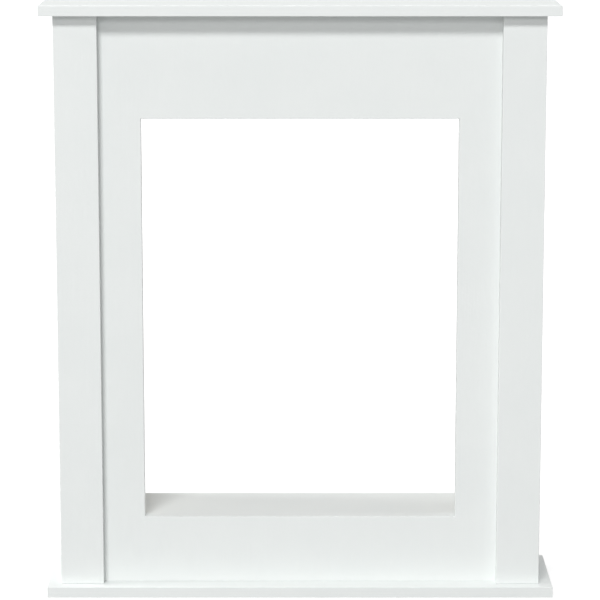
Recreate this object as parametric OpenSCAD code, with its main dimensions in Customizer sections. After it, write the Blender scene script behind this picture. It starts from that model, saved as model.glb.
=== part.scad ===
// Fireplace mantel for a 1:12 dolls' house, built up from thin sheet and square strip.
// The front faces -Y and +Z is up. The origin is under the middle of the base board, on the
// surface that the mantel stands on. Left and right are those of someone facing the front.

/* [Outline] */
// Width of the shelf and of the base board, edge to edge
mantel_w = 77; // [70:1:100]
// Depth of the shelf and of the base board, from the front edge to the wall
mantel_d = 18; // [16:0.5:30]
// Height of the shelf's top above the surface that the mantel stands on
mantel_h = 90; // [84:1:120]
// How far the shelf and the base board stand out past the body, at the front and both sides
overhang = 2; // [1:0.25:3.5]

/* [Stock] */
// Thickness of the sheet that every board is cut from
sheet_t = 1.6; // [1.4:0.1:2]
// Side of the square strip that the cleats and corner posts are cut from
strip_w = 3.2; // [2.8:0.2:4]

/* [Front] */
// Width of each pilaster
pilaster_w = 6.5; // [4:0.5:9]
// Width of the firebox opening
opening_w = 47.4; // [36:0.2:56]
// Height of the firebox opening
opening_h = 61.1; // [45:0.1:66]
// Height of the rail below the opening, from the base board up to the hearth floor
rail_h = 10.2; // [9:0.1:14]

/* [Joints] */
// Depth of the rebate in each side panel that the front panel laps into
rebate_d = 0.8; // [0.4:0.1:1.1]
// Depth of the housings in the shelf and the base board that the uprights stand in
housing_d = 0.5; // [0.3:0.1:0.8]
// Room left for glue beside each board in its housing or rebate
glue_gap = 0.05; // [0.02:0.01:0.1]
// How far the ends of the cleats stay in from the wall
cleat_setback = 1; // [0.5:0.1:3]

/* [Pins] */
// Diameter of a panel pin's shank
pin_d = 0.7; // [0.5:0.1:1]
// Diameter of a panel pin's head
pin_head_d = 1.4; // [1.2:0.1:2]
// Thickness of a panel pin's head
pin_head_t = 0.3; // [0.2:0.05:0.4]
// How far a panel pin reaches into the cleat
pin_bite = 2.7; // [1.5:0.1:2.7]
// Length of the point at a panel pin's tip
pin_point_l = 0.6; // [0.3:0.1:1]
// How far a pin's head is sunk below the underside of the base board
pin_sink = 0.1; // [0.05:0.05:0.2]
// Room round a pin in its hole
pin_gap = 0.03; // [0.01:0.01:0.06]
// Distance from each end of a side cleat to the nearest pin
pin_inset = 2.4; // [1.5:0.1:3.5]
// Distance between the pins in the front cleat
pin_pitch = 22; // [10:1:26]

/* [Hidden] */

painted = "#e8ebea";
bare_wood = "#dcc49a";
bright_steel = "#b9bcc0";

// How far a cutter runs past the face that it cuts
past = 1;
// Facets in a full turn of a pin
pin_fn = 48;
// Length of a pin from the face of its head to its tip
pin_l = sheet_t + pin_bite - pin_sink;

front_y = -mantel_d / 2;
wall_y = mantel_d / 2;
// Faces of the boards, in order from front to back
pilaster_y = front_y + overhang;
panel_y = pilaster_y + sheet_t;
panel_back_y = panel_y + sheet_t;
cleat_y = panel_back_y + strip_w;
cleat_end_y = wall_y - cleat_setback;
// Faces of the boards, in order from the middle outwards
opening_x = opening_w / 2;
side_inner_x = mantel_w / 2 - overhang - sheet_t;
side_outer_x = side_inner_x + sheet_t;
cleat_x = side_inner_x - strip_w;
pilaster_x = side_outer_x - pilaster_w;
panel_edge_x = side_inner_x + rebate_d;
// Faces of the boards, in order from the bottom up
base_top_z = sheet_t;
hearth_z = base_top_z + rail_h;
shelf_z = mantel_h - sheet_t;

// Centres of the pins: two in each side cleat and three in the front cleat
pin_places = concat(
    [for (side = [-1, 1], y = [panel_back_y + pin_inset, cleat_end_y - pin_inset])
        [side * (side_inner_x + cleat_x) / 2, y]],
    [for (step = [-1, 0, 1]) [step * pin_pitch, (panel_back_y + cleat_y) / 2]]
);

// A square-edged piece between two opposite corners
module block(low, high) {
    translate(low) cube(high - low);
}

// The shape given for the right side, turned over to the left
module on_left() {
    mirror([1, 0, 0]) children();
}

// Grooves for the front panel and both side panels, between two heights
module housings(z_low, z_high) {
    for (turn = [0, 1]) mirror([turn, 0, 0])
        block(
            [side_inner_x - glue_gap, panel_y - glue_gap, z_low],
            [side_outer_x + glue_gap, wall_y + past, z_high]
        );
    block(
        [-side_outer_x, panel_y - glue_gap, z_low],
        [side_outer_x, panel_back_y + glue_gap, z_high]
    );
}

// Straight holes for the pins' shanks
module pin_holes() {
    for (place = pin_places)
        translate([place[0], place[1], -past])
            cylinder(h = past + pin_sink + pin_l + pin_gap, d = pin_d + 2 * pin_gap, $fn = pin_fn);
}

// Counterbores for the pins' heads
module pin_head_holes() {
    for (place = pin_places)
        translate([place[0], place[1], -past])
            cylinder(h = past + pin_sink + pin_head_t, d = pin_head_d + 2 * pin_gap, $fn = pin_fn);
}

module mantel_shelf() {
    color(painted)
    difference() {
        block([-mantel_w / 2, front_y, shelf_z], [mantel_w / 2, wall_y, mantel_h]);
        housings(shelf_z - past, shelf_z + housing_d);
    }
}

module base_board() {
    color(painted)
    difference() {
        block([-mantel_w / 2, front_y, 0], [mantel_w / 2, wall_y, base_top_z]);
        housings(base_top_z - housing_d, base_top_z + past);
        pin_holes();
        pin_head_holes();
    }
}

// One board with the opening cut through it, standing in the housings
module front_panel() {
    color(painted)
    difference() {
        block(
            [-(panel_edge_x - glue_gap), panel_y, base_top_z - housing_d],
            [panel_edge_x - glue_gap, panel_back_y, shelf_z + housing_d]
        );
        block(
            [-opening_x, panel_y - past, hearth_z],
            [opening_x, panel_back_y + past, hearth_z + opening_h]
        );
    }
}

// Covers the joint between the front panel and the side panel
module right_pilaster() {
    color(painted)
    block([pilaster_x, pilaster_y, base_top_z], [side_outer_x, panel_y, shelf_z]);
}

module left_pilaster() {
    on_left() right_pilaster();
}

// Rebated along its inner front edge for the front panel
module right_side_panel() {
    color(painted)
    difference() {
        block(
            [side_inner_x, panel_y, base_top_z - housing_d],
            [side_outer_x, wall_y, shelf_z + housing_d]
        );
        block(
            [side_inner_x - past, panel_y - past, base_top_z - housing_d - past],
            [panel_edge_x, panel_back_y, shelf_z + housing_d + past]
        );
    }
}

module left_side_panel() {
    on_left() right_side_panel();
}

// Lies level with the bottom of the opening, from the front panel back to the wall
module hearth_floor() {
    color(painted)
    block(
        [-(side_inner_x - glue_gap), panel_back_y, hearth_z - sheet_t],
        [side_inner_x - glue_gap, wall_y, hearth_z]
    );
}

// Stiffens the corner between the front panel and the side panel, above the hearth floor
module right_corner_post() {
    color(bare_wood)
    block([cleat_x, panel_back_y, hearth_z], [side_inner_x, cleat_y, shelf_z]);
}

module left_corner_post() {
    on_left() right_corner_post();
}

// A strip along a side panel from the given depth back, with its underside at the given height
module side_cleat(y_from, z_low) {
    block([cleat_x, y_from, z_low], [side_inner_x, cleat_end_y, z_low + strip_w]);
}

// A strip along the back of the front panel, with its underside at the given height
module front_cleat(z_low) {
    block([-cleat_x, panel_back_y, z_low], [cleat_x, cleat_y, z_low + strip_w]);
}

module right_shelf_cleat() {
    color(bare_wood) side_cleat(cleat_y, shelf_z - strip_w);
}

module left_shelf_cleat() {
    on_left() right_shelf_cleat();
}

module header_cleat() {
    color(bare_wood) front_cleat(shelf_z - strip_w);
}

module right_hearth_cleat() {
    color(bare_wood) side_cleat(panel_back_y, hearth_z - sheet_t - strip_w);
}

module left_hearth_cleat() {
    on_left() right_hearth_cleat();
}

module front_hearth_cleat() {
    color(bare_wood) front_cleat(hearth_z - sheet_t - strip_w);
}

module right_base_cleat() {
    color(bare_wood)
    difference() {
        side_cleat(panel_back_y, base_top_z);
        pin_holes();
    }
}

module left_base_cleat() {
    on_left() right_base_cleat();
}

module front_base_cleat() {
    color(bare_wood)
    difference() {
        front_cleat(base_top_z);
        pin_holes();
    }
}

// A flat-headed panel pin with its head down and its point up
module panel_pin() {
    cylinder(h = pin_head_t, d = pin_head_d, $fn = pin_fn);
    cylinder(h = pin_l - pin_point_l, d = pin_d, $fn = pin_fn);
    translate([0, 0, pin_l - pin_point_l])
        cylinder(h = pin_point_l, d1 = pin_d, d2 = 0, $fn = pin_fn);
}

// The pins that hold the base board to the cleats above it
module base_pins() {
    color(bright_steel)
    for (place = pin_places) translate([place[0], place[1], pin_sink]) panel_pin();
}

mantel_shelf();
base_board();
front_panel();
left_pilaster();
right_pilaster();
left_side_panel();
right_side_panel();
hearth_floor();
left_corner_post();
right_corner_post();
left_shelf_cleat();
right_shelf_cleat();
header_cleat();
left_hearth_cleat();
right_hearth_cleat();
front_hearth_cleat();
left_base_cleat();
right_base_cleat();
front_base_cleat();
base_pins();
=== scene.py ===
import math

import bpy
import numpy as np
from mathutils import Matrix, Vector


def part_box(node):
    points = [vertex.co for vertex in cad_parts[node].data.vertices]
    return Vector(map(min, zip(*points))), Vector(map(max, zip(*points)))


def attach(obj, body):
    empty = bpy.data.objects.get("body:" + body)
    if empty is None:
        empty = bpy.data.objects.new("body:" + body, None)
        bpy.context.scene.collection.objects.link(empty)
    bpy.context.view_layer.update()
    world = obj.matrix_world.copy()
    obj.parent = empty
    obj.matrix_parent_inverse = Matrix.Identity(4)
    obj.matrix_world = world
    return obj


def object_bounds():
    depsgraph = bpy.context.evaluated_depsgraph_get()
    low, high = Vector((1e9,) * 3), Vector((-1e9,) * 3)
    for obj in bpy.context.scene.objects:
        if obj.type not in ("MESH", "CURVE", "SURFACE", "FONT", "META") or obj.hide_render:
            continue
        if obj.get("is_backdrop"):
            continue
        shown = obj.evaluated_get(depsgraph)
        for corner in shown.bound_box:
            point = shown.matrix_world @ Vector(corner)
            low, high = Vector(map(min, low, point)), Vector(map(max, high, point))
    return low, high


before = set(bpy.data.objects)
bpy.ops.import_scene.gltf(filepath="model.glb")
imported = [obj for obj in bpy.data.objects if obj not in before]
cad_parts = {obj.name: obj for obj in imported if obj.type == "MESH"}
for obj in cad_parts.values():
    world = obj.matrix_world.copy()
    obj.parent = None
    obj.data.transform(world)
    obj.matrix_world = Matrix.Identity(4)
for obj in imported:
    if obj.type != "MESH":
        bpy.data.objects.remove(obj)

MM = 0.001
X, Y, Z = 0, 1, 2

cad_low, cad_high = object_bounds()

# The grain of each board runs along this axis
BOARDS = {
    "mantel_shelf": X,
    "base_board": X,
    "front_panel": Z,
    "left_pilaster": Z,
    "right_pilaster": Z,
    "left_side_panel": Z,
    "right_side_panel": Z,
    "hearth_floor": X,
}
# Each strip runs along its first axis. The two pairs are the sides on which it is glued: the
# axis that a side faces along, and the direction
STRIPS = {
    "left_corner_post": (Z, (X, -1), (Y, -1)),
    "right_corner_post": (Z, (X, 1), (Y, -1)),
    "left_shelf_cleat": (Y, (X, -1), (Z, 1)),
    "right_shelf_cleat": (Y, (X, 1), (Z, 1)),
    "header_cleat": (X, (Y, -1), (Z, 1)),
    "left_hearth_cleat": (Y, (X, -1), (Z, 1)),
    "right_hearth_cleat": (Y, (X, 1), (Z, 1)),
    "front_hearth_cleat": (X, (Y, -1), (Z, 1)),
    "left_base_cleat": (Y, (X, -1), (Z, -1)),
    "right_base_cleat": (Y, (X, 1), (Z, -1)),
    "front_base_cleat": (X, (Y, -1), (Z, -1)),
}


def span(name):
    """The lowest and highest corner of a CAD node, as arrays in metres."""
    low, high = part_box(name)
    return np.array(low), np.array(high)


# ---------------------------------------------------------------- arrises

BOARD_ARRIS = 0.10 * MM
STRIP_ARRIS = 0.05 * MM
PIN_ARRIS = 0.03 * MM
BOARD_SEGMENTS = 3
SMALL_SEGMENTS = 2
WELD_REACH = 0.001 * MM
FLAT_ANGLE = math.radians(1.0)
EDGE_ANGLE = math.radians(40)


def ease_arrises(name, width, segments):
    """Joins the loose triangles of a CAD node and rounds its sharp edges by the given width."""
    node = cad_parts[name]
    weld = node.modifiers.new("weld", "WELD")
    weld.merge_threshold = WELD_REACH
    flatten = node.modifiers.new("flatten", "DECIMATE")
    flatten.decimate_type = "DISSOLVE"
    flatten.angle_limit = FLAT_ANGLE
    bevel = node.modifiers.new("arris", "BEVEL")
    bevel.width = width
    bevel.segments = segments
    bevel.limit_method = "ANGLE"
    bevel.angle_limit = EDGE_ANGLE
    bevel.use_clamp_overlap = True
    bevel.harden_normals = True


for board in BOARDS:
    ease_arrises(board, BOARD_ARRIS, BOARD_SEGMENTS)
for strip in STRIPS:
    ease_arrises(strip, STRIP_ARRIS, SMALL_SEGMENTS)
ease_arrises("base_pins", PIN_ARRIS, SMALL_SEGMENTS)

# ---------------------------------------------------------------- glue

BEAD_REACH = 0.34 * MM
BEAD_WANDER = 0.35
BEAD_HOLLOW = 0.55
BEAD_SINK = 0.02 * MM
BEAD_TAPER = 1.2 * MM
BEAD_LEAST_FADE = 0.02
BEAD_RING_STEP = 0.4 * MM
BEAD_ARC_POINTS = 6
WALL_WAVE = 7 * MM
STRIP_WAVE = 5 * MM
WAVES = 5
WAVE_DIVISOR = 2.5
PITCH_RANGE = (0.5, 1.8)
GLUE_SEED = 12


def smooth_noise(along, wavelength, rng):
    """A wandering value along a line, mostly between -1 and 1.

    It is the sum of five sine waves, divided by WAVE_DIVISOR. Each wave has a random phase, and
    a length that is the given wavelength times a random number from PITCH_RANGE.
    """
    total = np.zeros_like(along)
    for _ in range(WAVES):
        pitch = wavelength * rng.uniform(*PITCH_RANGE)
        total += np.sin(2 * np.pi * (along / pitch + rng.uniform()))
    return total / WAVE_DIVISOR


def glue_bead(corner, run, length, wall, strip, rng):
    """Squeezed-out glue in the corner between a wall and a strip, swept along the run.

    The directions wall and strip lead away from the corner along the two surfaces. The profile
    is a curve of points at angles t from 0 to a quarter turn. With h for BEAD_HOLLOW, a point is
    h (1 - sin t) + (1 - h) cos t of the reach along the wall, and h (1 - cos t) + (1 - h) sin t
    of the reach along the strip. So the curve lies between a hollow quarter circle and a swollen
    one. The corner itself closes the profile, and all of it is sunk into both surfaces by
    BEAD_SINK. Each reach is BEAD_REACH times one plus BEAD_WANDER times a smooth noise. It fades
    at the ends: it is multiplied by the square root of the distance to the nearer end over
    BEAD_TAPER, with that ratio kept between BEAD_LEAST_FADE and 1.

    Gives the points ring by ring, and whether the faces have to be flipped to look outwards.
    """
    rings = int(length / BEAD_RING_STEP) + 2
    along = np.linspace(0, length, rings)
    to_end = np.minimum(along, length - along)
    fade = np.clip(to_end / BEAD_TAPER, BEAD_LEAST_FADE, 1) ** 0.5
    reach_wall = BEAD_REACH * fade * (1 + BEAD_WANDER * smooth_noise(along, WALL_WAVE, rng))
    reach_strip = BEAD_REACH * fade * (1 + BEAD_WANDER * smooth_noise(along, STRIP_WAVE, rng))
    angle = np.linspace(0, np.pi / 2, BEAD_ARC_POINTS)
    on_wall = BEAD_HOLLOW * (1 - np.sin(angle)) + (1 - BEAD_HOLLOW) * np.cos(angle)
    on_strip = BEAD_HOLLOW * (1 - np.cos(angle)) + (1 - BEAD_HOLLOW) * np.sin(angle)
    spine = corner + along[:, None] * run
    sink = BEAD_SINK * (wall + strip)
    arc = (
        spine[:, None, :]
        + (reach_wall[:, None] * on_wall)[:, :, None] * wall
        + (reach_strip[:, None] * on_strip)[:, :, None] * strip
        - sink
    )
    root = (spine - sink)[:, None, :]
    points = np.concatenate([arc, root], axis=1)
    return points, np.cross(run, wall) @ strip > 0


def tube_faces(rings, sides, first, flip):
    """Quads between neighbouring rings of a tube, and one polygon that closes each end.

    The points are numbered ring by ring from first. With flip, every face is turned over.
    """
    ring = np.arange(rings - 1)[:, None] * sides
    side = np.arange(sides)[None, :]
    here = ring + side
    beside = ring + (side + 1) % sides
    quads = np.stack([here, beside, beside + sides, here + sides], axis=-1).reshape(-1, 4) + first
    start = first + np.arange(sides)[::-1]
    end = first + (rings - 1) * sides + np.arange(sides)
    if flip:
        quads = quads[:, ::-1]
        start = start[::-1]
        end = end[::-1]
    return quads.tolist() + [start.tolist(), end.tolist()]


def make_piece(name, vertices, faces):
    """A new smooth-shaded object that rides on the part."""
    mesh = bpy.data.meshes.new(name)
    mesh.from_pydata(vertices.tolist(), [], faces)
    mesh.polygons.foreach_set("use_smooth", np.ones(len(mesh.polygons), dtype=bool))
    mesh.update()
    piece = bpy.data.objects.new(name, mesh)
    bpy.context.scene.collection.objects.link(piece)
    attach(piece, "root")
    return piece


def unit(axis, sign):
    """The unit vector along an axis, forwards or backwards."""
    vector = np.zeros(3)
    vector[axis] = sign
    return vector


def glue_lines():
    """Two beads along every strip, one in each corner that it makes with what it is glued to."""
    rng = np.random.default_rng(GLUE_SEED)
    vertices, faces, count = [], [], 0
    for name, (axis, first, second) in STRIPS.items():
        low, high = span(name)
        length = high[axis] - low[axis]
        for (wall_axis, wall_side), (cap_axis, cap_side) in ((first, second), (second, first)):
            corner = low.copy()
            corner[wall_axis] = high[wall_axis] if wall_side > 0 else low[wall_axis]
            corner[cap_axis] = low[cap_axis] if cap_side > 0 else high[cap_axis]
            run = unit(axis, 1)
            along_wall = unit(cap_axis, -cap_side)
            along_strip = unit(wall_axis, -wall_side)
            points, flip = glue_bead(corner, run, length, along_wall, along_strip, rng)
            rings, sides = points.shape[:2]
            vertices.append(points.reshape(-1, 3))
            faces += tube_faces(rings, sides, count, flip)
            count += rings * sides
    return make_piece("glue_lines", np.concatenate(vertices), faces)


glue = glue_lines()

# ---------------------------------------------------------------- materials

# How much fine structure a noise has on top of its largest features. The noises of a material
# have seeds a few numbers apart, so that none repeats another
BROAD = 1.0
BANDED = 1.5
PLAIN = 2.0
BUSY = 3.0


class Recipe:
    """A node material in the making: each method adds a node and gives back its output."""

    def __init__(self, name):
        """Starts the material, with the Object coordinates as one output and as three."""
        self.material = bpy.data.materials.new(name)
        self.material.use_nodes = True
        self.tree = self.material.node_tree
        self.shader = self.tree.nodes["Principled BSDF"]
        self.place = self.tree.nodes.new("ShaderNodeTexCoord").outputs["Object"]
        split = self.tree.nodes.new("ShaderNodeSeparateXYZ")
        self.tree.links.new(self.place, split.inputs[0])
        self.axes = split.outputs

    def feed(self, socket, value):
        """Links an output to a socket, or sets the socket to a plain value."""
        if isinstance(value, bpy.types.NodeSocket):
            self.tree.links.new(value, socket)
        else:
            socket.default_value = value

    def math(self, operation, first, second=0.0):
        """The result of an operation on one or two values."""
        node = self.tree.nodes.new("ShaderNodeMath")
        node.operation = operation
        self.feed(node.inputs[0], first)
        self.feed(node.inputs[1], second)
        return node.outputs[0]

    def noise(self, size, detail, seed):
        """Noise of 0 to 1 with features of the given size in metres along X, Y and Z."""
        scale = self.tree.nodes.new("ShaderNodeVectorMath")
        scale.operation = "DIVIDE"
        self.feed(scale.inputs[0], self.place)
        scale.inputs[1].default_value = size
        node = self.tree.nodes.new("ShaderNodeTexNoise")
        node.noise_dimensions = "4D"
        self.feed(node.inputs["Vector"], scale.outputs[0])
        node.inputs["W"].default_value = seed
        node.inputs["Scale"].default_value = 1.0
        node.inputs["Detail"].default_value = detail
        return node.outputs[0]

    def fade(self, value, start, end):
        """A smooth step from 0 at start to 1 at end, whichever of the two is larger."""
        node = self.tree.nodes.new("ShaderNodeMapRange")
        node.interpolation_type = "SMOOTHSTEP"
        self.feed(node.inputs["Value"], value)
        node.inputs["From Min"].default_value = start
        node.inputs["From Max"].default_value = end
        return node.outputs["Result"]

    def scaled(self, value, low, high):
        """A value stretched so that 0 gives low and 1 gives high, and never past the two."""
        node = self.tree.nodes.new("ShaderNodeMapRange")
        self.feed(node.inputs["Value"], value)
        node.inputs["To Min"].default_value = low
        node.inputs["To Max"].default_value = high
        return node.outputs["Result"]

    def blend(self, factor, first, second):
        """Mixes two colours, from the first at 0 to the second at 1."""
        node = self.tree.nodes.new("ShaderNodeMix")
        node.data_type = "RGBA"
        colours = [socket for socket in node.inputs if socket.type == "RGBA"]
        self.feed(node.inputs["Factor"], factor)
        for socket, colour in zip(colours, (first, second)):
            self.feed(socket, colour if isinstance(colour, bpy.types.NodeSocket) else (*colour, 1))
        return next(socket for socket in node.outputs if socket.type == "RGBA")

    def bump(self, height, depth, under=None):
        """Raises the surface by depth metres where height is 1, on top of the bumps under it."""
        node = self.tree.nodes.new("ShaderNodeBump")
        node.inputs["Strength"].default_value = 1.0
        node.inputs["Distance"].default_value = depth
        self.feed(node.inputs["Height"], height)
        if under is not None:
            self.feed(node.inputs["Normal"], under)
        return node.outputs[0]

    def finish(self, colour, roughness, normal):
        """Connects the shader and gives back the material."""
        self.feed(self.shader.inputs["Base Color"], colour)
        self.feed(self.shader.inputs["Roughness"], roughness)
        self.feed(self.shader.inputs["Normal"], normal)
        return self.material


def even(size):
    """The feature size of something as large along one axis as along the others."""
    return [size, size, size]


def stretched(axis, along, across):
    """The feature size of something long along one axis and narrow across the other two."""
    size = even(across)
    size[axis] = along
    return size


GROWTH_SIZE = (60 * MM, 3.2 * MM)
GROWTH_TURNS = 9
GROWTH_TOP = 0.5


def growth_lines(recipe, axis, seed):
    """The bands of early and late wood, from 0 to GROWTH_TOP.

    A slow noise times GROWTH_TURNS full turns goes through a sine. The value is GROWTH_TOP times
    the sum of one and that sine, cut off at GROWTH_TOP, so the bands have flat tops.
    """
    slow = recipe.noise(stretched(axis, *GROWTH_SIZE), BANDED, seed)
    turns = recipe.math("MULTIPLY", slow, 2 * math.pi * GROWTH_TURNS)
    return recipe.scaled(recipe.math("ADD", recipe.math("SINE", turns), 1.0), 0.0, GROWTH_TOP)


def from_nearer_face(recipe, axis, low, high):
    """How far a point of a box is from the nearer of its two faces across an axis, in metres."""
    below = recipe.math("SUBTRACT", recipe.axes[axis], float(low[axis]))
    above = recipe.math("SUBTRACT", float(high[axis]), recipe.axes[axis])
    return recipe.math("MINIMUM", below, above)


def distance_to_arris(recipe, low, high):
    """How far a point on a box's surface is from the nearest edge of the box, in metres.

    Each axis gives the distance to its nearer face. The smallest of the three is 0 on the
    surface, so the middle one of the three is the distance to the nearest edge.
    """
    gaps = [from_nearer_face(recipe, axis, low, high) for axis in (X, Y, Z)]
    smaller = recipe.math("MINIMUM", gaps[0], gaps[1])
    larger = recipe.math("MAXIMUM", gaps[0], gaps[1])
    return recipe.math("MAXIMUM", smaller, recipe.math("MINIMUM", larger, gaps[2]))


MASK_WIDTH = 0.04 * MM


def inside_mask(recipe, limits):
    """1 where a point is past every one of the limits (axis, value, side), 0 outside.

    Each limit is a smooth step that begins at its value and is MASK_WIDTH wide. The mask is the
    product of them all.
    """
    mask = 1.0
    for axis, value, side in limits:
        reach = recipe.math("SUBTRACT", recipe.axes[axis], value)
        past = recipe.fade(recipe.math("MULTIPLY", reach, float(side)), 0.0, MASK_WIDTH)
        mask = recipe.math("MULTIPLY", mask, past)
    return mask


PAINT = (0.80, 0.825, 0.815)
PAINT_SHADE = (0.785, 0.812, 0.803)
# The paler white on patches near the edges is a painted highlight along the arrises
PAINT_EDGE_HIGHLIGHT = (0.86, 0.875, 0.865)
PAINT_THIN = (0.785, 0.79, 0.755)
PAINT_CLOUD = 9 * MM
PAINT_STROKE = (14 * MM, 0.28 * MM)
PAINT_FIBRE = (5 * MM, 0.11 * MM)
PAINT_PEEL = 0.42 * MM
CLOUD_SPLIT = (0.3, 0.7)
SATIN_LEAST = 0.41
SATIN_MOST = 0.51
THIN_ROUGHER = 0.12
# The paint is rubbed smoother in patches from this far off an edge, and most from that near on;
# the same patches are painted paler as a painted edge highlight
RUB_AND_HIGHLIGHT_FROM = 0.30 * MM
RUB_AND_HIGHLIGHT_MOST = 0.05 * MM
RUB_AND_HIGHLIGHT_PATCH = 1.6 * MM
RUB_AND_HIGHLIGHT_SPLIT = (0.35, 0.65)
# How far the edge patches are mixed toward the paler white of the painted edge highlight
EDGE_HIGHLIGHT_AMOUNT = 0.30
RUB_SMOOTHER = 0.10
GROWTH_DEPTH = 0.005 * MM
STROKE_DEPTH = 0.016 * MM
PEEL_DEPTH = 0.011 * MM
FIBRE_DEPTH = 0.012 * MM


def brushed_paint(name, axis, seed, low, high, thin_limits):
    """Satin white paint over sheet wood, brushed along the grain, with a thinner coat inside and a
    painted highlight on patches along the edges, where the paint is also rubbed smoother.
    """
    recipe = Recipe(name)
    clouds = recipe.noise(even(PAINT_CLOUD), BUSY, seed)
    strokes = recipe.noise(stretched(axis, *PAINT_STROKE), BUSY, seed + 3)
    fibres = recipe.noise(stretched(axis, *PAINT_FIBRE), PLAIN, seed + 5)
    peel = recipe.noise(even(PAINT_PEEL), PLAIN, seed + 7)
    lines = growth_lines(recipe, axis, seed + 9)
    patches = recipe.noise(even(RUB_AND_HIGHLIGHT_PATCH), BUSY, seed + 11)
    thin = inside_mask(recipe, thin_limits) if thin_limits else 0.0
    near_edge = recipe.fade(distance_to_arris(recipe, low, high), RUB_AND_HIGHLIGHT_FROM, RUB_AND_HIGHLIGHT_MOST)
    rubbed_and_highlit = recipe.math("MULTIPLY", near_edge, recipe.fade(patches, *RUB_AND_HIGHLIGHT_SPLIT))

    solid = recipe.blend(recipe.fade(clouds, *CLOUD_SPLIT), PAINT, PAINT_SHADE)
    colour = recipe.blend(thin, solid, PAINT_THIN)
    # Painted highlight: the edge patches are mixed toward a paler white, as if the arrises caught
    # the light
    colour = recipe.blend(recipe.math("MULTIPLY", rubbed_and_highlit, EDGE_HIGHLIGHT_AMOUNT), colour, PAINT_EDGE_HIGHLIGHT)

    satin = recipe.scaled(clouds, SATIN_LEAST, SATIN_MOST)
    rougher = recipe.math("ADD", satin, recipe.math("MULTIPLY", thin, THIN_ROUGHER))
    smoother = recipe.math("MULTIPLY", rubbed_and_highlit, RUB_SMOOTHER)
    roughness = recipe.math("SUBTRACT", rougher, smoother)

    normal = recipe.bump(lines, GROWTH_DEPTH)
    normal = recipe.bump(strokes, STROKE_DEPTH, normal)
    normal = recipe.bump(peel, PEEL_DEPTH, normal)
    normal = recipe.bump(recipe.math("MULTIPLY", fibres, thin), FIBRE_DEPTH, normal)
    return recipe.finish(colour, roughness, normal)


PALE_WOOD = (0.76, 0.615, 0.425)
WARM_WOOD = (0.78, 0.64, 0.46)
LATE_WOOD = (0.60, 0.435, 0.255)
END_WOOD = (0.50, 0.355, 0.205)
PORE_WOOD = (0.42, 0.29, 0.16)
WOOD_FIBRE = (3.5 * MM, 0.09 * MM)
WOOD_TONE = (25 * MM, 2.5 * MM)
WOOD_PORE = (0.9 * MM, 0.05 * MM)
WOOD_SPECKLE = 0.07 * MM
WOOD_ROUGHNESS = (0.58, 0.78)
FIGURE_RANGE = (0.3, 1.0)
TONE_SPLIT = (0.3, 0.75)
PORE_SPLIT = (0.62, 0.74)
PORE_STRENGTH = 0.5
END_RANGE = (0.35, 1.0)
SPECKLE_SPLIT = (0.2, 0.8)
# The sawn end's darker wood starts this far from the end, and is full from that near on
END_FROM = 0.06 * MM
END_FULL = 0.01 * MM
SAW_PITCH = 0.55 * MM
SAW_DEPTH = 0.0015 * MM


def bare_strip_wood(name, axis, seed, low, high):
    """Unpainted strip wood: growth lines and fibres along it, darker sawn ends."""
    recipe = Recipe(name)
    lines = growth_lines(recipe, axis, seed)
    fibres = recipe.noise(stretched(axis, *WOOD_FIBRE), BUSY, seed + 2)
    tone = recipe.noise(stretched(axis, *WOOD_TONE), PLAIN, seed + 4)
    pores = recipe.noise(stretched(axis, *WOOD_PORE), BROAD, seed + 6)
    speckle = recipe.noise(even(WOOD_SPECKLE), BUSY, seed + 8)

    figure = recipe.math("MULTIPLY", lines, recipe.scaled(fibres, *FIGURE_RANGE))
    colour = recipe.blend(figure, PALE_WOOD, LATE_WOOD)
    colour = recipe.blend(recipe.fade(tone, *TONE_SPLIT), colour, WARM_WOOD)
    open_pores = recipe.math("MULTIPLY", recipe.fade(pores, *PORE_SPLIT), PORE_STRENGTH)
    colour = recipe.blend(open_pores, colour, PORE_WOOD)

    end = recipe.fade(from_nearer_face(recipe, axis, low, high), END_FROM, END_FULL)
    dots = recipe.fade(speckle, *SPECKLE_SPLIT)
    rings = recipe.math("MULTIPLY", recipe.scaled(lines, *END_RANGE), dots)
    colour = recipe.blend(end, colour, recipe.blend(rings, LATE_WOOD, END_WOOD))

    saw = recipe.math("SINE", recipe.math("MULTIPLY", recipe.axes[axis], 2 * math.pi / SAW_PITCH))
    normal = recipe.bump(lines, GROWTH_DEPTH)
    normal = recipe.bump(fibres, FIBRE_DEPTH, normal)
    normal = recipe.bump(saw, SAW_DEPTH, normal)
    return recipe.finish(colour, recipe.scaled(fibres, *WOOD_ROUGHNESS), normal)


GLUE_PALE = (0.86, 0.79, 0.62)
GLUE_DEEP = (0.76, 0.65, 0.44)
GLUE_MILKY = (0.86, 0.84, 0.76)
GLUE_CLOUD = 1.4 * MM
GLUE_SPECK = 0.15 * MM
GLUE_SPLIT = (0.3, 0.7)
SPECK_SPLIT = (0.64, 0.72)
SPECK_DEPTH = 0.006 * MM
GLUE_ROUGHNESS = (0.18, 0.40)
GLUE_SUBSURFACE = 0.25
GLUE_SCATTER = 0.4 * MM


def dried_glue(name):
    """Dried wood glue: yellowish with milky specks, a little see-through, glossier in places."""
    recipe = Recipe(name)
    clouds = recipe.noise(even(GLUE_CLOUD), BUSY, 1.0)
    specks = recipe.noise(even(GLUE_SPECK), PLAIN, 4.0)
    colour = recipe.blend(recipe.fade(clouds, *GLUE_SPLIT), GLUE_PALE, GLUE_DEEP)
    colour = recipe.blend(recipe.fade(specks, *SPECK_SPLIT), colour, GLUE_MILKY)
    recipe.shader.inputs["Subsurface Weight"].default_value = GLUE_SUBSURFACE
    recipe.shader.inputs["Subsurface Scale"].default_value = GLUE_SCATTER
    roughness = recipe.scaled(clouds, *GLUE_ROUGHNESS)
    return recipe.finish(colour, roughness, recipe.bump(specks, SPECK_DEPTH))


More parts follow.
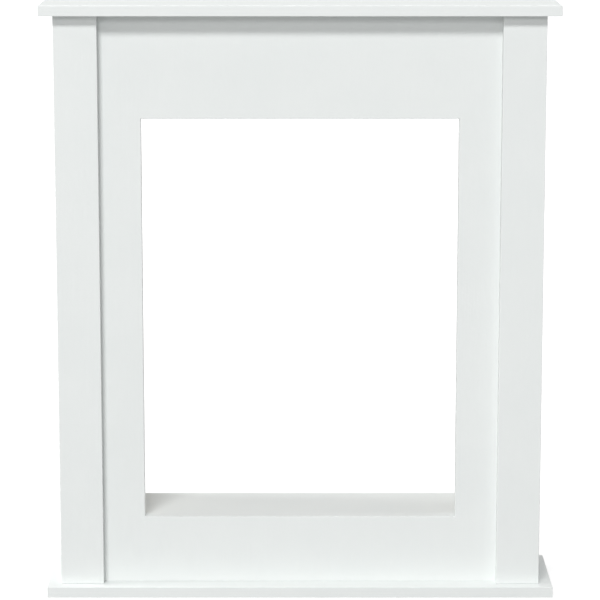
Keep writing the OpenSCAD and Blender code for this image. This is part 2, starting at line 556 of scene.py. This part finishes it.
STEEL = (0.62, 0.61, 0.59)
STEEL_STAINED = (0.46, 0.44, 0.41)
DIE_MARK = (0.6 * MM, 0.6 * MM, 0.03 * MM)
DIE_DEPTH = 0.003 * MM
STAIN_SIZE = 0.5 * MM
STAIN_SPLIT = (0.45, 0.75)
STEEL_ROUGHNESS = (0.22, 0.42)


def drawn_steel(name):
    """Bright pin steel with fine die marks round the upright shanks and duller stains."""
    recipe = Recipe(name)
    marks = recipe.noise(DIE_MARK, PLAIN, 2.0)
    stain = recipe.noise(even(STAIN_SIZE), BUSY, 5.0)
    colour = recipe.blend(recipe.fade(stain, *STAIN_SPLIT), STEEL, STEEL_STAINED)
    recipe.shader.inputs["Metallic"].default_value = 1.0
    roughness = recipe.scaled(stain, *STEEL_ROUGHNESS)
    return recipe.finish(colour, roughness, recipe.bump(marks, DIE_DEPTH))


def give(obj, material):
    """Puts a material in every material slot of an object."""
    if not obj.material_slots:
        obj.data.materials.append(material)
    for slot in obj.material_slots:
        slot.material = material


panel_back = float(span("front_panel")[1][Y])
inner_x = float(span("right_side_panel")[0][X])
shelf_under = float(span("mantel_shelf")[0][Z])
hearth_top = float(span("hearth_floor")[1][Z])
# A limit stands this far from the face it goes by, so that the face is clearly on one side
HAIR = 0.05 * MM
BEHIND_PANEL = (Y, panel_back - HAIR, 1)
BETWEEN_SIDES = [(X, -inner_x, 1), (X, inner_x, -1)]
# Where each board has only the thin coat: past all of these limits
THIN = {
    "front_panel": [BEHIND_PANEL],
    "left_side_panel": [(X, -inner_x - HAIR, 1)],
    "right_side_panel": [(X, inner_x + HAIR, -1)],
    "hearth_floor": [(Z, hearth_top - HAIR, -1)],
    "mantel_shelf": [*BETWEEN_SIDES, (Z, shelf_under + HAIR, -1), BEHIND_PANEL],
    "base_board": [*BETWEEN_SIDES, BEHIND_PANEL],
}
# The noise seeds of two boards or strips are this far apart
SEED_STEP = 20.0
FIRST_STRIP_SEED = 500.0

for index, (name, axis) in enumerate(BOARDS.items()):
    low, high = span(name)
    seed = SEED_STEP * index
    paint = brushed_paint("white_paint_" + name, axis, seed, low, high, THIN.get(name))
    give(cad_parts[name], paint)
for index, (name, (axis, _, _)) in enumerate(STRIPS.items()):
    low, high = span(name)
    seed = FIRST_STRIP_SEED + SEED_STEP * index
    give(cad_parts[name], bare_strip_wood("bare_wood_" + name, axis, seed, low, high))
give(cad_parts["base_pins"], drawn_steel("drawn_steel"))
give(glue, dried_glue("dried_glue"))

# ---------------------------------------------------------------- stage

scene = bpy.context.scene
scene.view_settings.view_transform = "Standard"

# Each soft box: watts, then direction and distance from the shelf's front edge, then width and
# height, in metres
LIGHTS = {
    "key": (32, (-0.25, -1.0, 0.82), 2.3, 0.90, 0.36),
    "second": (9, (-0.20, -1.0, 0.30), 2.2, 1.00, 0.40),
    "left": (22, (-1.0, 0.02, 0.75), 2.2, 0.40, 0.72),
    "overhead": (5, (0.0, 0.0, 1.0), 2.2, 1.8, 1.8),
    "back": (5, (0.0, 1.0, 0.6), 2.2, 1.8, 0.9),
    "back_left": (7, (-1.0, 1.0, 0.10), 2.0, 0.7, 0.5),
    "back_right": (11, (1.0, 0.55, 0.10), 2.0, 0.7, 0.5),
}
# The strength of the even light from all round
DOME = 0.29
# How white the backdrop looks, and the floor beside the part where no light reaches it.
# Between the two distances from the part's middle the floor turns into the backdrop
BACKDROP_WHITE = 1.0
FLOOR_GLOW = 0.72
GLOW_NEAR = 0.06
GLOW_FAR = 0.35
FLOOR_GREY = (0.4, 0.4, 0.4, 1)
FLOOR_HALF = 4.0
WHITE = (1, 1, 1, 1)

shelf_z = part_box("mantel_shelf")[0][2]
shelf_front = Vector((0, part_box("mantel_shelf")[0][1], shelf_z))


def soft_box(name, watts, direction, distance, width, height):
    """A rectangular light that the camera does not see, turned to the shelf's front edge."""
    data = bpy.data.lights.new(name, "AREA")
    data.shape = "RECTANGLE"
    data.size = width
    data.size_y = height
    data.energy = watts
    place = shelf_front + Vector(direction).normalized() * distance
    light = bpy.data.objects.new(name, data)
    light.location = place
    light.visible_camera = False
    light.rotation_euler = (shelf_front - place).to_track_quat("-Z", "Y").to_euler()
    scene.collection.objects.link(light)


def camera_ray(tree):
    """An output that is 1 for what the camera sees straight on and 0 for all other light."""
    return tree.nodes.new("ShaderNodeLightPath").outputs["Is Camera Ray"]


def floor_coat():
    """A grey that takes shadows, plus a white glow that only the camera sees.

    The glow's strength is FLOOR_GLOW up to GLOW_NEAR metres from the middle and BACKDROP_WHITE
    from GLOW_FAR metres on, with a smooth step between the two.
    """
    material = bpy.data.materials.new("pale_floor")
    material.use_nodes = True
    tree = material.node_tree
    tree.nodes.clear()
    place = tree.nodes.new("ShaderNodeTexCoord")
    distance = tree.nodes.new("ShaderNodeVectorMath")
    distance.operation = "LENGTH"
    tree.links.new(place.outputs["Object"], distance.inputs[0])
    spread = tree.nodes.new("ShaderNodeMapRange")
    spread.interpolation_type = "SMOOTHSTEP"
    spread.inputs["From Min"].default_value = GLOW_NEAR
    spread.inputs["From Max"].default_value = GLOW_FAR
    spread.inputs["To Min"].default_value = FLOOR_GLOW
    spread.inputs["To Max"].default_value = BACKDROP_WHITE
    tree.links.new(distance.outputs["Value"], spread.inputs["Value"])
    strength = tree.nodes.new("ShaderNodeMath")
    strength.operation = "MULTIPLY"
    tree.links.new(camera_ray(tree), strength.inputs[0])
    tree.links.new(spread.outputs["Result"], strength.inputs[1])
    glow = tree.nodes.new("ShaderNodeEmission")
    tree.links.new(strength.outputs[0], glow.inputs["Strength"])
    diffuse = tree.nodes.new("ShaderNodeBsdfDiffuse")
    diffuse.inputs["Color"].default_value = FLOOR_GREY
    add = tree.nodes.new("ShaderNodeAddShader")
    tree.links.new(diffuse.outputs[0], add.inputs[0])
    tree.links.new(glow.outputs[0], add.inputs[1])
    output = tree.nodes.new("ShaderNodeOutputMaterial")
    tree.links.new(add.outputs[0], output.inputs["Surface"])
    return material


def make_floor():
    """A wide square at the height of 0, on which the part stands."""
    signs = ((-1, -1), (1, -1), (1, 1), (-1, 1))
    mesh = bpy.data.meshes.new("floor")
    mesh.from_pydata([(x * FLOOR_HALF, y * FLOOR_HALF, 0) for x, y in signs], [], [(0, 1, 2, 3)])
    mesh.materials.append(floor_coat())
    square = bpy.data.objects.new("floor", mesh)
    scene.collection.objects.link(square)
    return square


def make_world():
    """White all round: DOME is its strength as a light, BACKDROP_WHITE as what the camera sees."""
    world = bpy.data.worlds.new("studio")
    world.use_nodes = True
    tree = world.node_tree
    strength = tree.nodes.new("ShaderNodeMix")
    strength.data_type = "FLOAT"
    strength.inputs["A"].default_value = DOME
    strength.inputs["B"].default_value = BACKDROP_WHITE
    tree.links.new(camera_ray(tree), strength.inputs["Factor"])
    sky = tree.nodes["Background"]
    sky.inputs["Color"].default_value = WHITE
    tree.links.new(strength.outputs["Result"], sky.inputs["Strength"])
    return world


# The camera stands this far in front of the part. Seen from the part's middle it is up by the
# rise, and it looks down by the tilt
CAMERA_DISTANCE = 0.4
CAMERA_RISE = math.radians(10.5)
CAMERA_TILT = math.radians(10.57)
CAMERA_LENS = 163.5
SENSOR_WIDTH = 36


def make_camera():
    """A long lens straight in front of the part, looking down on it."""
    data = bpy.data.cameras.new("camera")
    data.lens = CAMERA_LENS
    data.sensor_width = SENSOR_WIDTH
    camera = bpy.data.objects.new("camera", data)
    scene.collection.objects.link(camera)
    front_y = cad_low[Y]
    middle_z = (cad_low[Z] + cad_high[Z]) / 2
    above = math.tan(CAMERA_RISE) * (CAMERA_DISTANCE - front_y)
    camera.location = (0, front_y - CAMERA_DISTANCE, middle_z + above)
    camera.rotation_euler = (math.pi / 2 - CAMERA_TILT, 0, 0)
    return camera


for name, settings in LIGHTS.items():
    soft_box(name, *settings)
floor = make_floor()
floor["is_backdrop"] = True
scene.world = make_world()
scene.camera = make_camera()

low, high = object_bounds()
